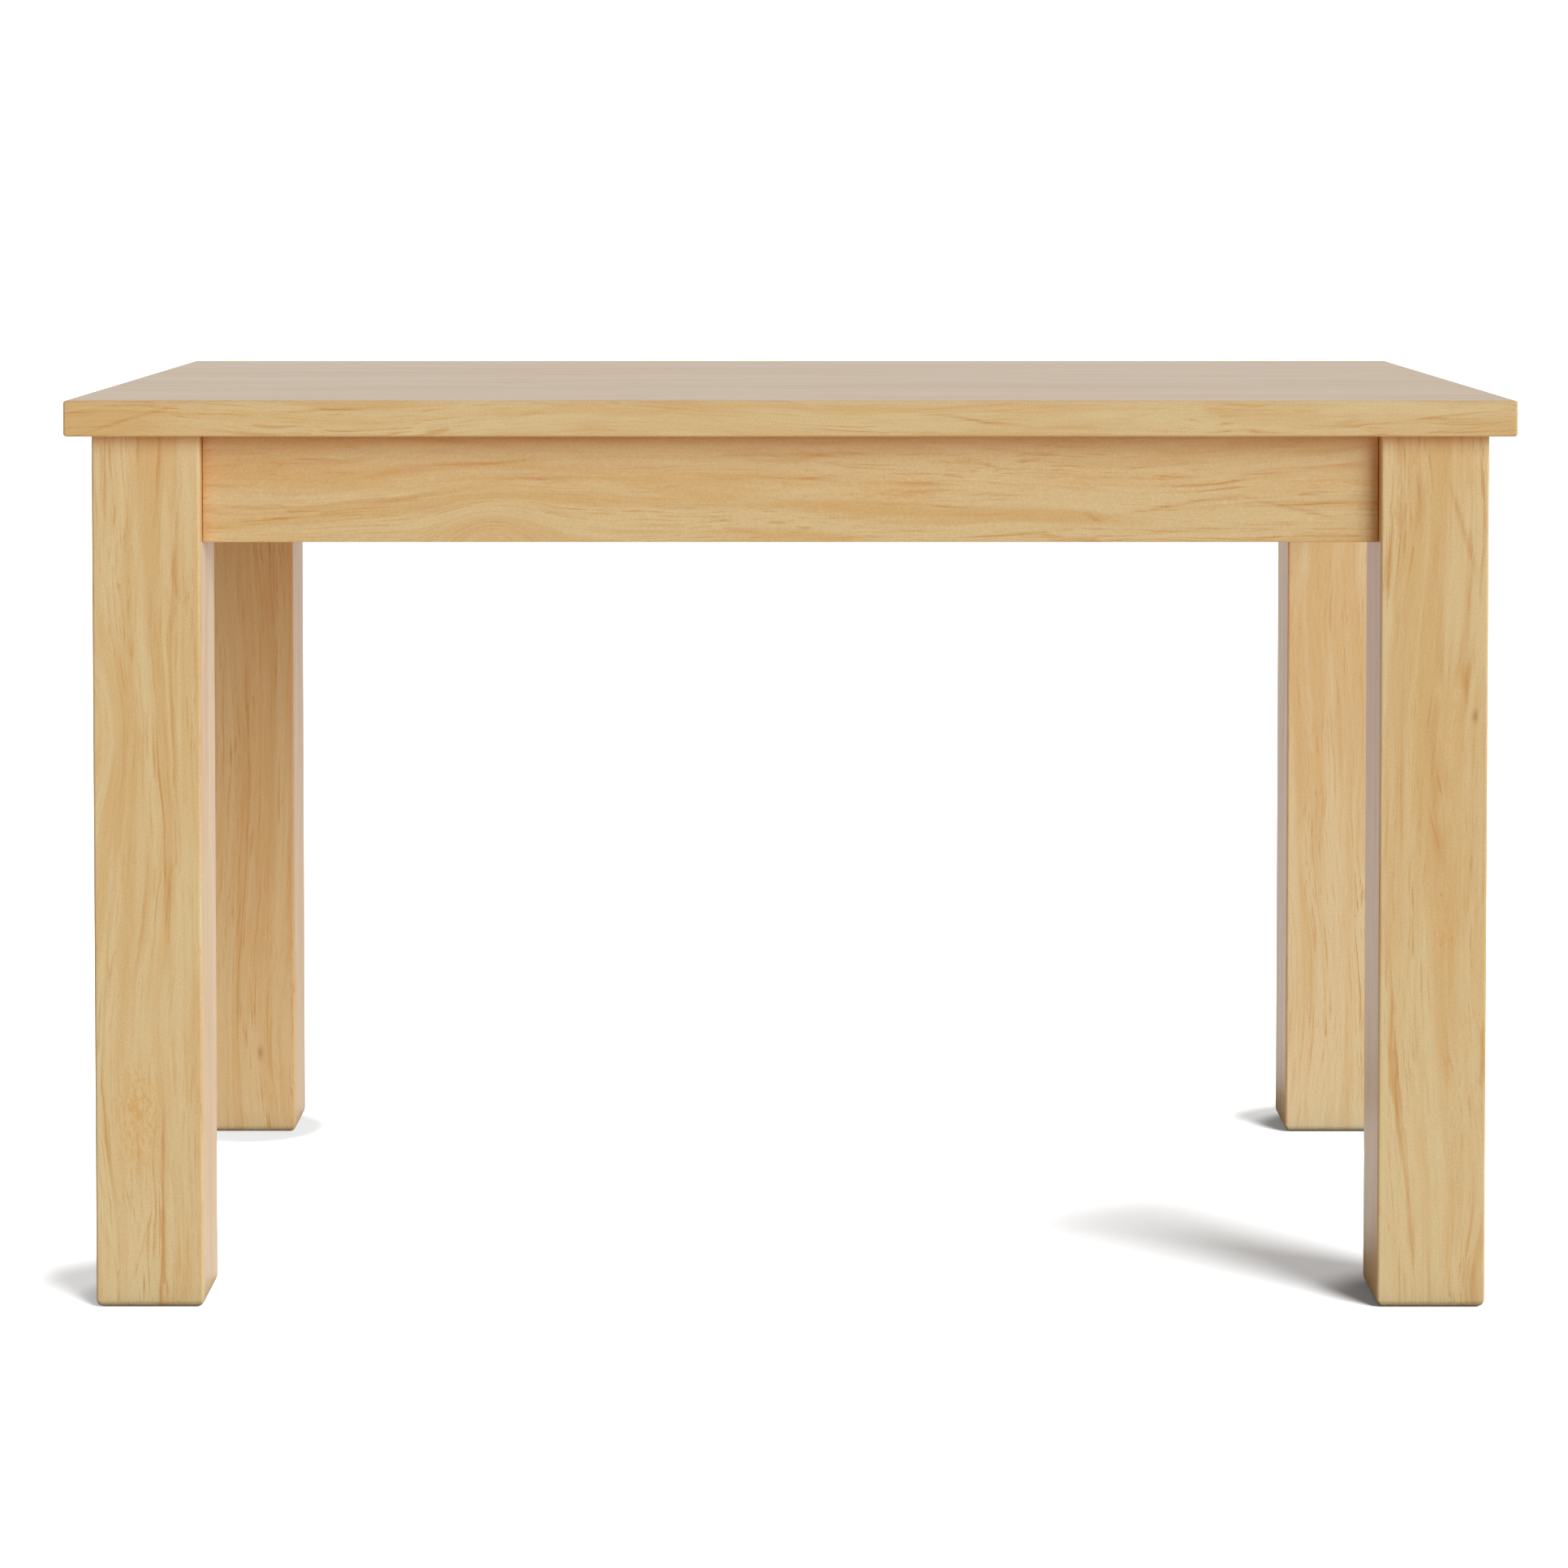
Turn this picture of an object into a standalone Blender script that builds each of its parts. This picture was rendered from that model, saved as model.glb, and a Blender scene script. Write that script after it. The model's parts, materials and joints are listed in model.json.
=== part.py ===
"""Plain solid-timber table: a boarded top on four square legs joined by an apron.

Metres, +Z up. The origin is on the floor under the centre of the top, +X runs along the length
and +Y from the front to the back. The legs bolt to 45-degree corner blocks, and turned-under
wooden buttons hold the top down while it swells and shrinks.
"""

import math

import bmesh
import bpy
from mathutils import Matrix, Vector

GAP = 0.0003  # left between pieces that touch

# The whole table
TABLE_LENGTH = 1.200
TABLE_DEPTH = 0.800
TABLE_HEIGHT = 0.760

# Top
TOP_THICKNESS = 0.030
TOP_EDGE_RADIUS = 0.0025
BOARD_COUNT = 5

# Legs
LEG_SIDE = 0.090
LEG_INSET = 0.020  # outer faces of the legs, in from the edges of the top
LEG_EDGE_RADIUS = 0.0025
FOOT_EDGE_RADIUS = 0.0065
LEG_CUT = 0.030  # flat on the inside corner for the corner block, along each face
LEG_CUT_HEIGHT = 0.086

# Aprons
APRON_HEIGHT = 0.090
APRON_THICKNESS = 0.020
APRON_SETBACK = 0.015  # behind the outer faces of the legs
APRON_EDGE_RADIUS = 0.001
GROOVE_WIDTH = 0.008  # for the button tongues, along the inner face
GROOVE_DEPTH = 0.008
GROOVE_BELOW_TOP = 0.012

# Corner blocks
BLOCK_THICKNESS = 0.028
BLOCK_HEIGHT = 0.070
BLOCK_BELOW_TOP = 0.005
HOUSING_FROM_LEG_CENTRE = 0.090
HOUSING_WIDTH = 0.0086
HOUSING_DEPTH = 0.006

# Hanger bolts, washers and nuts, M8
BOLT_RADIUS = 0.004
BOLT_LENGTH = 0.095
BOLT_IN_LEG = 0.049
BOLT_CHAMFER = 0.0008
BOLT_SPACING = 0.036
WASHER_RADIUS = 0.012
WASHER_THICKNESS = 0.002
NUT_ACROSS_FLATS = 0.013
NUT_THICKNESS = 0.0065

# Buttons and their screws
BUTTON_WIDTH = 0.038
BUTTON_LENGTH = 0.045
SCREW_FROM_APRON = 0.026
SCREW_LENGTH = 0.035
SCREW_RADIUS = 0.002
SCREW_HEAD_RADIUS = 0.004
SCREW_HEAD_HEIGHT = 0.0024
SCREW_TIP_LENGTH = 0.006
SCREW_SLOT_DEPTH = 0.0014
SCREW_SLOT_REACH = 0.0026
SCREW_SLOT_WIDTH = 0.0010

ROUND_SIDES = 20
BEVEL_SEGMENTS = 4
SHARP_ANGLE = math.radians(35)
PAST = 0.010  # how far a cutter runs past the wood it cuts

# Worked out from the above
UNDERSIDE = TABLE_HEIGHT - TOP_THICKNESS
LEG_HEIGHT = UNDERSIDE - GAP
APRON_BOTTOM = UNDERSIDE - APRON_HEIGHT
LEG_CENTRE_X = TABLE_LENGTH / 2 - LEG_INSET - LEG_SIDE / 2
LEG_CENTRE_Y = TABLE_DEPTH / 2 - LEG_INSET - LEG_SIDE / 2
APRON_INNER = -LEG_SIDE / 2 + APRON_SETBACK + APRON_THICKNESS  # from the leg's centre
CUT_FACE = (LEG_SIDE - LEG_CUT) / math.sqrt(2)  # from the leg's centre, on the diagonal
BLOCK_NEAR = CUT_FACE + GAP
BLOCK_FAR = BLOCK_NEAR + BLOCK_THICKNESS
BLOCK_TOP = UNDERSIDE - BLOCK_BELOW_TOP
BLOCK_BOTTOM = BLOCK_TOP - BLOCK_HEIGHT
GROOVE_TOP = UNDERSIDE - GROOVE_BELOW_TOP
GROOVE_BOTTOM = GROOVE_TOP - GROOVE_WIDTH
BUTTON_BOTTOM = GROOVE_BOTTOM + GAP
SCREW_FROM_LEG_CENTRE = APRON_INNER + SCREW_FROM_APRON

TIMBER = (0.66, 0.44, 0.21)
BARE_TIMBER = (0.60, 0.42, 0.23)
ZINC = (0.62, 0.62, 0.60)


def clear_scene():
    for thing in list(bpy.data.objects):
        bpy.data.objects.remove(thing)


def make_material(name, colour, roughness, metallic=0.0):
    material = bpy.data.materials.new(name)
    material.use_nodes = True
    shader = material.node_tree.nodes["Principled BSDF"]
    shader.inputs["Base Color"].default_value = (*colour, 1.0)
    shader.inputs["Roughness"].default_value = roughness
    shader.inputs["Metallic"].default_value = metallic
    return material


def place(name, mesh, material, parent, location=(0, 0, 0), turn=0.0):
    """A new object with this mesh, at a location and a turn about +Z under its parent."""
    thing = bpy.data.objects.new(name, mesh)
    bpy.context.scene.collection.objects.link(thing)
    if mesh is not None and not mesh.materials:
        mesh.materials.append(material)
    thing.parent = parent
    thing.location = location
    thing.rotation_euler = (0, 0, turn)
    return thing


def place_empty(name, parent=None, location=(0, 0, 0), turn=0.0):
    return place(name, None, None, parent, location, turn)


# Mesh shapes


def to_mesh(form, name):
    """The bmesh as a mesh with its faces pointing out."""
    bmesh.ops.recalc_face_normals(form, faces=form.faces)
    mesh = bpy.data.meshes.new(name)
    form.to_mesh(mesh)
    form.free()
    return mesh


def smoothed(mesh):
    mesh.shade_smooth()
    mesh.set_sharp_from_angle(angle=SHARP_ANGLE)
    return mesh


def box_form(low, high):
    """A bmesh box between two opposite corners."""
    low = Vector(low)
    high = Vector(high)
    form = bmesh.new()
    bmesh.ops.create_cube(form, size=1.0)
    bmesh.ops.scale(form, vec=high - low, verts=form.verts)
    bmesh.ops.translate(form, vec=(low + high) / 2, verts=form.verts)
    return form


def box_mesh(name, low, high):
    return to_mesh(box_form(low, high), name)


def prism_mesh(name, outline, low, high):
    """A closed outline in X and Y, extruded along Z."""
    form = bmesh.new()
    corners = [form.verts.new((x, y, low)) for x, y in outline]
    base = form.faces.new(corners)
    grown = bmesh.ops.extrude_face_region(form, geom=[base])["geom"]
    raised = [item for item in grown if isinstance(item, bmesh.types.BMVert)]
    bmesh.ops.translate(form, vec=(0, 0, high - low), verts=raised)
    return to_mesh(form, name)


def turned_mesh(name, outline, closed=False):
    """A profile of (radius, height) points spun once round Z."""
    form = bmesh.new()
    points = [form.verts.new((radius, 0, height)) for radius, height in outline]
    pairs = list(zip(points, points[1:]))
    if closed:
        pairs.append((points[-1], points[0]))
    edges = [form.edges.new(pair) for pair in pairs]
    bmesh.ops.spin(
        form,
        geom=points + edges,
        cent=(0, 0, 0),
        axis=(0, 0, 1),
        angle=math.tau,
        steps=ROUND_SIDES,
        use_merge=True,
    )
    bmesh.ops.remove_doubles(form, verts=form.verts, dist=1e-6)
    return to_mesh(form, name)


def combined(name, body, tools, operation="DIFFERENCE"):
    """The body's mesh after each tool's mesh is cut from it, or intersected with it."""
    helpers = [bpy.data.objects.new("tool", tool) for tool in tools]
    work = bpy.data.objects.new("work", body)
    for thing in [work] + helpers:
        bpy.context.scene.collection.objects.link(thing)
    for helper in helpers:
        step = work.modifiers.new("combine", "BOOLEAN")
        step.operation = operation
        step.solver = "EXACT"
        step.object = helper
    graph = bpy.context.evaluated_depsgraph_get()
    mesh = bpy.data.meshes.new_from_object(work.evaluated_get(graph))
    mesh.name = name
    for thing in [work] + helpers:
        bpy.data.objects.remove(thing)
    for used in [body] + tools:
        bpy.data.meshes.remove(used)
    return mesh


def along_diagonal(mesh, height=0.0):
    """Turns a piece made upright on Z to point along a corner's diagonal, at a height."""
    lay_down = Matrix.Rotation(math.pi / 2, 4, "Y")
    turn = Matrix.Rotation(math.pi / 4, 4, "Z")
    mesh.transform(Matrix.Translation((0, 0, height)) @ turn @ lay_down)
    return mesh


# The top


def screw_places():
    """Where the buttons are screwed up into the top, in X and Y."""
    long_x = TABLE_LENGTH / 4
    inner_y = LEG_CENTRE_Y - SCREW_FROM_LEG_CENTRE
    inner_x = LEG_CENTRE_X - SCREW_FROM_LEG_CENTRE
    places = [(x, side * inner_y) for side in (-1, 1) for x in (-long_x, 0, long_x)]
    return places + [(side * inner_x, 0) for side in (-1, 1)]


def board_mesh(number):
    """One board, cut from a slab that is rounded on its outside edges only."""
    width = TABLE_DEPTH / BOARD_COUNT
    front = -TABLE_DEPTH / 2 + number * width
    back = front + width
    half = Vector((TABLE_LENGTH / 2, TABLE_DEPTH / 2, 0))
    slab = box_form(Vector((0, 0, UNDERSIDE)) - half, Vector((0, 0, TABLE_HEIGHT)) + half)
    bmesh.ops.bevel(
        slab,
        geom=slab.edges[:],
        offset=TOP_EDGE_RADIUS,
        segments=3,
        profile=0.5,
        affect="EDGES",
    )
    if number > 0:
        trim(slab, front + GAP / 2, (0, -1, 0))
    if number < BOARD_COUNT - 1:
        trim(slab, back - GAP / 2, (0, 1, 0))
    board = to_mesh(slab, "board")
    holes = [pilot_hole(x, y) for x, y in screw_places() if front < y < back]
    return smoothed(combined("board", board, holes))


def trim(form, y, outward):
    """Cuts the form off flat at y and closes the cut."""
    geometry = form.verts[:] + form.edges[:] + form.faces[:]
    cut = bmesh.ops.bisect_plane(
        form, geom=geometry, plane_co=(0, y, 0), plane_no=outward, clear_outer=True
    )["geom_cut"]
    rim = [item for item in cut if isinstance(item, bmesh.types.BMEdge)]
    bmesh.ops.edgeloop_fill(form, edges=rim)


def pilot_hole(x, y):
    radius = SCREW_RADIUS + GAP
    tip = BUTTON_BOTTOM + SCREW_LENGTH + GAP
    mesh = turned_mesh(
        "pilot_hole",
        [(0, UNDERSIDE - PAST), (radius, UNDERSIDE - PAST), (radius, tip), (0, tip)],
    )
    mesh.transform(Matrix.Translation((x, y, 0)))
    return mesh


def build_top(parent, material):
    for number in range(BOARD_COUNT):
        place(f"top_board_{number + 1}", board_mesh(number), material, parent)


# A corner: the leg's centre is the corner's origin, and its inside corner points to +X +Y


def leg_mesh():
    half = LEG_SIDE / 2
    form = box_form((-half, -half, 0), (half, half, LEG_HEIGHT))
    weight = form.edges.layers.float.new("bevel_weight_edge")
    for edge in form.edges:
        ends = [end.co.z for end in edge.verts]
        if max(ends) == 0:
            edge[weight] = 1.0
        elif min(ends) == 0:
            edge[weight] = LEG_EDGE_RADIUS / FOOT_EDGE_RADIUS
    blank = to_mesh(form, "leg_blank")
    return smoothed(combined("leg", rounded(blank), leg_cutters()))


def rounded(blank):
    """The leg's blank with its long edges and its foot rounded, by their bevel weights."""
    work = bpy.data.objects.new("work", blank)
    bpy.context.scene.collection.objects.link(work)
    bevel = work.modifiers.new("round", "BEVEL")
    bevel.limit_method = "WEIGHT"
    bevel.width = FOOT_EDGE_RADIUS
    bevel.segments = BEVEL_SEGMENTS
    graph = bpy.context.evaluated_depsgraph_get()
    mesh = bpy.data.meshes.new_from_object(work.evaluated_get(graph))
    bpy.data.objects.remove(work)
    bpy.data.meshes.remove(blank)
    return mesh


def leg_cutters():
    """The flat across the inside corner, and the two blind holes for the bolts."""
    flat = box_mesh(
        "leg_flat",
        (CUT_FACE, -LEG_SIDE, LEG_HEIGHT - LEG_CUT_HEIGHT),
        (LEG_SIDE, LEG_SIDE, LEG_HEIGHT + PAST),
    )
    flat.transform(Matrix.Rotation(math.pi / 4, 4, "Z"))
    bottom = CUT_FACE - BOLT_IN_LEG - GAP
    holes = [diagonal_hole(bottom, CUT_FACE + PAST, height) for height in bolt_heights()]
    return [flat] + holes


def bolt_heights():
    middle = (BLOCK_TOP + BLOCK_BOTTOM) / 2
    return [middle + BOLT_SPACING / 2, middle - BOLT_SPACING / 2]


def diagonal_hole(start, end, height):
    radius = BOLT_RADIUS + GAP
    hole = turned_mesh("bolt_hole", [(0, start), (radius, start), (radius, end), (0, end)])
    return along_diagonal(hole, height)


def block_mesh():
    """A corner block: mitred against both aprons, with a tongue into each one's housing."""
    wall = APRON_INNER + GAP
    tongue_end = wall - HOUSING_DEPTH
    tongue_near = HOUSING_FROM_LEG_CENTRE - HOUSING_WIDTH / 2 + GAP
    tongue_far = HOUSING_FROM_LEG_CENTRE + HOUSING_WIDTH / 2 - GAP
    one_side = [
        (BLOCK_NEAR * math.sqrt(2) - wall, wall),
        (tongue_near, wall),
        (tongue_near, tongue_end),
        (tongue_far, tongue_end),
        (tongue_far, wall),
        (BLOCK_FAR * math.sqrt(2) - wall, wall),
    ]
    other_side = [(y, x) for x, y in reversed(one_side)]
    block = prism_mesh("block", one_side + other_side, BLOCK_BOTTOM, BLOCK_TOP)
    start = BLOCK_NEAR - PAST
    end = BLOCK_FAR + PAST
    holes = [diagonal_hole(start, end, height) for height in bolt_heights()]
    return smoothed(combined("corner_block", block, holes))


def bolt_mesh():
    start = CUT_FACE - BOLT_IN_LEG
    end = start + BOLT_LENGTH
    neck = BOLT_RADIUS - BOLT_CHAMFER
    outline = [
        (0, start),
        (neck, start),
        (BOLT_RADIUS, start + BOLT_CHAMFER),
        (BOLT_RADIUS, end - BOLT_CHAMFER),
        (neck, end),
        (0, end),
    ]
    return smoothed(along_diagonal(turned_mesh("hanger_bolt", outline)))


def washer_mesh():
    bore = BOLT_RADIUS + GAP
    start = BLOCK_FAR + GAP
    end = start + WASHER_THICKNESS
    outline = [(bore, start), (WASHER_RADIUS, start), (WASHER_RADIUS, end), (bore, end)]
    return smoothed(along_diagonal(turned_mesh("washer", outline, closed=True)))


def nut_mesh():
    """A hexagon whose corners are turned off to a cone at both ends, with a plain bore."""
    start = BLOCK_FAR + WASHER_THICKNESS + 2 * GAP
    end = start + NUT_THICKNESS
    corner = NUT_ACROSS_FLATS / math.sqrt(3)
    flat = NUT_ACROSS_FLATS / 2
    lead = (corner - flat) * 0.7
    angles = [math.tau * step / 6 for step in range(6)]
    hexagon = [(corner * math.cos(angle), corner * math.sin(angle)) for angle in angles]
    body = prism_mesh("nut_blank", hexagon, start, end)
    turned = [
        (0, start),
        (flat, start),
        (corner + lead / 2, start + lead),
        (corner + lead / 2, end - lead),
        (flat, end),
        (0, end),
    ]
    body = combined("nut_blank", body, [turned_mesh("nut_cone", turned)], "INTERSECT")
    bore = BOLT_RADIUS + GAP
    low = start - PAST
    high = end + PAST
    hole = turned_mesh("nut_bore", [(0, low), (bore, low), (bore, high), (0, high)])
    return smoothed(along_diagonal(combined("nut", body, [hole])))


def build_corner(corner, place_in_plan, turn, meshes, materials, parent):
    """A leg with its corner block, and the two bolts, washers and nuts that clamp them."""
    x, y = place_in_plan
    frame = place_empty(f"corner_{corner}", parent, (x, y, 0), turn)
    place(f"leg_{corner}", meshes["leg"], materials["leg"], frame)
    place(f"corner_block_{corner}", meshes["block"], materials["block"], frame)
    for level, height in zip(("upper", "lower"), bolt_heights()):
        for piece in ("hanger_bolt", "washer", "nut"):
            name = f"{piece}_{corner}_{level}"
            place(name, meshes[piece], materials["steel"], frame, (0, 0, height))


def build_corners(parent, materials):
    meshes = {
        "leg": leg_mesh(),
        "block": block_mesh(),
        "hanger_bolt": bolt_mesh(),
        "washer": washer_mesh(),
        "nut": nut_mesh(),
    }
    x = LEG_CENTRE_X
    y = LEG_CENTRE_Y
    build_corner("front_left", (-x, -y), 0, meshes, materials, parent)
    build_corner("front_right", (x, -y), math.pi / 2, meshes, materials, parent)
    build_corner("back_right", (x, y), math.pi, meshes, materials, parent)
    build_corner("back_left", (-x, y), -math.pi / 2, meshes, materials, parent)


# Aprons: along X, with the outer face at Y = 0 and the inner face towards +Y


def apron_mesh(length):
    half = length / 2
    low = (GAP - half, 0, APRON_BOTTOM)
    high = (half - GAP, APRON_THICKNESS, LEG_HEIGHT)
    form = box_form(low, high)
    lower_edges = [
        edge
        for edge in form.edges
        if all(abs(end.co.z - APRON_BOTTOM) < GAP for end in edge.verts)
        and edge.verts[0].co.x != edge.verts[1].co.x
    ]
    bmesh.ops.bevel(
        form,
        geom=lower_edges,
        offset=APRON_EDGE_RADIUS,
        segments=3,
        profile=0.5,
        affect="EDGES",
    )
    blank = to_mesh(form, "apron_blank")
    return smoothed(combined("apron", blank, apron_cutters(half)))


def apron_cutters(half):
    """The groove for the buttons, and a housing near each end for a corner block."""
    inner = APRON_THICKNESS
    groove = box_mesh(
        "groove",
        (-half - PAST, inner - GROOVE_DEPTH, GROOVE_BOTTOM),
        (half + PAST, inner + PAST, GROOVE_TOP),
    )
    cutters = [groove]
    centre = half + LEG_SIDE / 2 - HOUSING_FROM_LEG_CENTRE
    for x in (-centre, centre):
        low = (x - HOUSING_WIDTH / 2, inner - HOUSING_DEPTH, BLOCK_BOTTOM - GAP)
        high = (x + HOUSING_WIDTH / 2, inner + PAST, LEG_HEIGHT + PAST)
        cutters.append(box_mesh("housing", low, high))
    return cutters


# Buttons: in an apron's frame, with the tongue in its groove


def button_mesh():
    """An L in side view, drilled and countersunk from below for its screw."""
    bottom = BUTTON_BOTTOM
    tongue_top = GROOVE_TOP - GAP
    face = APRON_THICKNESS
    outline = [
        (face - GROOVE_DEPTH + GAP, bottom),
        (face + BUTTON_LENGTH, bottom),
        (face + BUTTON_LENGTH, LEG_HEIGHT),
        (face + GAP, LEG_HEIGHT),
        (face + GAP, tongue_top),
        (face - GROOVE_DEPTH + GAP, tongue_top),
    ]
    body = prism_mesh("button_blank", outline, -BUTTON_WIDTH / 2, BUTTON_WIDTH / 2)
    body.transform(Matrix(((0, 0, 1, 0), (1, 0, 0, 0), (0, 1, 0, 0), (0, 0, 0, 1))))
    hole = turned_mesh("screw_hole", screw_outline(GAP, PAST))
    hole.transform(Matrix.Translation((0, APRON_THICKNESS + SCREW_FROM_APRON, bottom)))
    return smoothed(combined("button", body, [hole]))


def screw_outline(extra, below):
    """A countersunk screw, head down, grown by extra all round and run on below its head."""
    head = SCREW_HEAD_RADIUS + extra
    shank = SCREW_RADIUS + extra
    shoulder = SCREW_LENGTH - SCREW_TIP_LENGTH
    outline = [(0, -below), (head, -below)]
    if below:
        outline.append((head, 0))
    outline.append((shank, SCREW_HEAD_HEIGHT))
    outline.append((shank, shoulder))
    outline.append((0, SCREW_LENGTH))
    return outline


def screw_mesh():
    screw = turned_mesh("button_screw", screw_outline(0.0, 0.0))
    return smoothed(combined("button_screw", screw, [cross_slot()]))


def cross_slot():
    """A plus-shaped cutter for the head's driving recess."""
    reach = SCREW_SLOT_REACH
    half = SCREW_SLOT_WIDTH / 2
    quarter = [(reach, -half), (reach, half), (half, half)]
    outline = []
    for step in range(4):
        turn = Matrix.Rotation(step * math.pi / 2, 2)
        outline += [tuple(turn @ Vector(point)) for point in quarter]
    return prism_mesh("cross_slot", outline, -PAST, SCREW_SLOT_DEPTH)


def build_apron(side, frame_place, turn, mesh, button_spots, shared, materials, parent):
    """An apron with the buttons along it and their screws."""
    x, y = frame_place
    frame = place_empty(f"{side}_frame", parent, (x, y, 0), turn)
    place(f"apron_{side}", mesh, materials["apron"], frame)
    screw_y = APRON_THICKNESS + SCREW_FROM_APRON
    for label, along in button_spots:
        name = f"{side}_{label}" if label else side
        place(f"button_{name}", shared["button"], materials["button"], frame, (along, 0, 0))
        spot = (along, screw_y, BUTTON_BOTTOM)
        place(f"button_screw_{name}", shared["screw"], materials["screw"], frame, spot)


def build_aprons(parent, materials):
    long_apron = apron_mesh(2 * LEG_CENTRE_X - LEG_SIDE)
    end_apron = apron_mesh(2 * LEG_CENTRE_Y - LEG_SIDE)
    shared = {"button": button_mesh(), "screw": screw_mesh()}
    x = LEG_CENTRE_X + LEG_SIDE / 2 - APRON_SETBACK
    y = LEG_CENTRE_Y + LEG_SIDE / 2 - APRON_SETBACK
    step = TABLE_LENGTH / 4
    three = [("left", -step), ("centre", 0), ("right", step)]
    three_turned = [("left", step), ("centre", 0), ("right", -step)]
    one = [("", 0)]
    quarter = math.pi / 2
    build_apron("front", (0, -y), 0, long_apron, three, shared, materials, parent)
    build_apron("back", (0, y), 2 * quarter, long_apron, three_turned, shared, materials, parent)
    build_apron("left", (-x, 0), -quarter, end_apron, one, shared, materials, parent)
    build_apron("right", (x, 0), quarter, end_apron, one, shared, materials, parent)


def main():
    clear_scene()
    materials = {
        "top": make_material("top_timber", TIMBER, 0.35),
        "leg": make_material("leg_timber", TIMBER, 0.40),
        "apron": make_material("apron_timber", TIMBER, 0.40),
        "block": make_material("block_timber", BARE_TIMBER, 0.70),
        "button": make_material("button_timber", BARE_TIMBER, 0.70),
        "steel": make_material("zinc_steel", ZINC, 0.35, 1.0),
        "screw": make_material("screw_steel", ZINC, 0.30, 1.0),
    }
    table = place_empty("table")
    build_top(table, materials["top"])
    build_corners(table, materials)
    build_aprons(table, materials)


main()
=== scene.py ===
"""The looks of the timber table: planed and rounded boards, lacquer, steel, floor, light and camera.

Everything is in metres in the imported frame: +X along the table, +Y from front to back, +Z up.
"""

import json
import math

import bmesh
import bpy
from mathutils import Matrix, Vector

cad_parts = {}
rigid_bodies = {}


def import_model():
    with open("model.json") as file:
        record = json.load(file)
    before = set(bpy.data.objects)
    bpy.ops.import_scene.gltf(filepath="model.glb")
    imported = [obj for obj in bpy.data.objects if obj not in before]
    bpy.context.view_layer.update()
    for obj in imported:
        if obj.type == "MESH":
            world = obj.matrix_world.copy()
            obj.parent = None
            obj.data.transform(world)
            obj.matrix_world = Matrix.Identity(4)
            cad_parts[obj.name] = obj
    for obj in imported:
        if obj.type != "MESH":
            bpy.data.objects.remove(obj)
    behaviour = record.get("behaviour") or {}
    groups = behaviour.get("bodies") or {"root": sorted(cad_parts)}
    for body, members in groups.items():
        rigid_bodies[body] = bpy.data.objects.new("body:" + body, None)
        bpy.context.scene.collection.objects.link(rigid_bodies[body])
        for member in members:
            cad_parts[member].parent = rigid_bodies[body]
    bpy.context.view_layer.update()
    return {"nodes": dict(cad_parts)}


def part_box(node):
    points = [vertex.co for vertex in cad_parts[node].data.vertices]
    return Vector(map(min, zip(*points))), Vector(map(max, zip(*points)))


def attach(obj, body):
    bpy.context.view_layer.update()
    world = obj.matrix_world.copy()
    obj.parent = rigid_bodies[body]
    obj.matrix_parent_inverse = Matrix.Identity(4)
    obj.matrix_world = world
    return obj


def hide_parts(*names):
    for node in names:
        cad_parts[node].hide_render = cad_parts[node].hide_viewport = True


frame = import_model()
BODY = "root"
CORNERS = ("front_left", "front_right", "back_left", "back_right")
SIDES = ("front", "back", "left", "right")
BOARD_COUNT = sum(name.startswith("top_board_") for name in frame["nodes"])

# Roundings, as planed and sanded
TOP_ROUND = 0.0025
ROUND_STEPS = 6
GLUE_GAP = 0.0003  # between CAD boards, closed here
TOUCH = 0.00001  # places this close are the same
WELD = 0.000002  # corners this close are one
ARRIS = 0.0006
BLOCK_ARRIS = 0.0010

# Angles between faces: those of one flat, those of a sharp arris, those that shade apart
FLAT = math.radians(1)
SHARP = math.radians(40)
CREASE = math.radians(50)

# Light: a soft key over the table, a stronger one over the floor, and an even fill
KEY_AZIMUTH = math.radians(41)
KEY_ELEVATION = math.radians(16)
KEY_ANGLE = math.radians(43)
KEY_STRENGTH = 2.17
KEY_TINT = (0.92, 1.105, 1.25)
FLOOR_KEY_ELEVATION = math.radians(29.5)
FLOOR_KEY_ANGLE = math.radians(33)
FLOOR_KEY_STRENGTH = 18.0
FILL_FRONT_LEFT = (0.080, 0.062, 0.045, 1.0)
FILL_FRONT_RIGHT = (1.02, 0.80, 0.56, 1.0)
FILL_RISES = (-0.4, 0.9)  # across the room, towards +X
FILL_TURNS = (-0.2, 0.4)  # from the front of the room to its back, towards +Y
FILL_BACK = (0.66, 0.655, 0.65, 1.0)
SHINE = (0.85, 0.865, 0.925, 1.0)
WHITE_SEEN = 1.05

# The floor, what it sends to the timber, and what the lacquer mirrors of it
FLOOR_REACH = 20.0
FLOOR_LEVEL = -0.0002
FLOOR_BOUNCE = (0.172, 0.137, 0.085, 1.0)
WARM_BOUNCE = (0.24, 0.148, 0.074, 1.0)  # under the table, as timber and floor light each other
UNDER_TABLE = (0.66, 0.46)
UNDER_TABLE_FADES = (0.6, 1.1)
MIRRORED_NEAR = (0.265, 0.285, 0.30, 1.0)
MIRRORED_FAR = (0.215, 0.235, 0.26, 1.0)
MIRRORED_DEPTH = (0.0, 4.0)  # from near to far, towards +Y
CONTACT = (0.0, 0.020)  # from a foot outwards, painted contact shade: the dark rim that it sees of the floor
CONTACT_LEFT = 0.03
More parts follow.
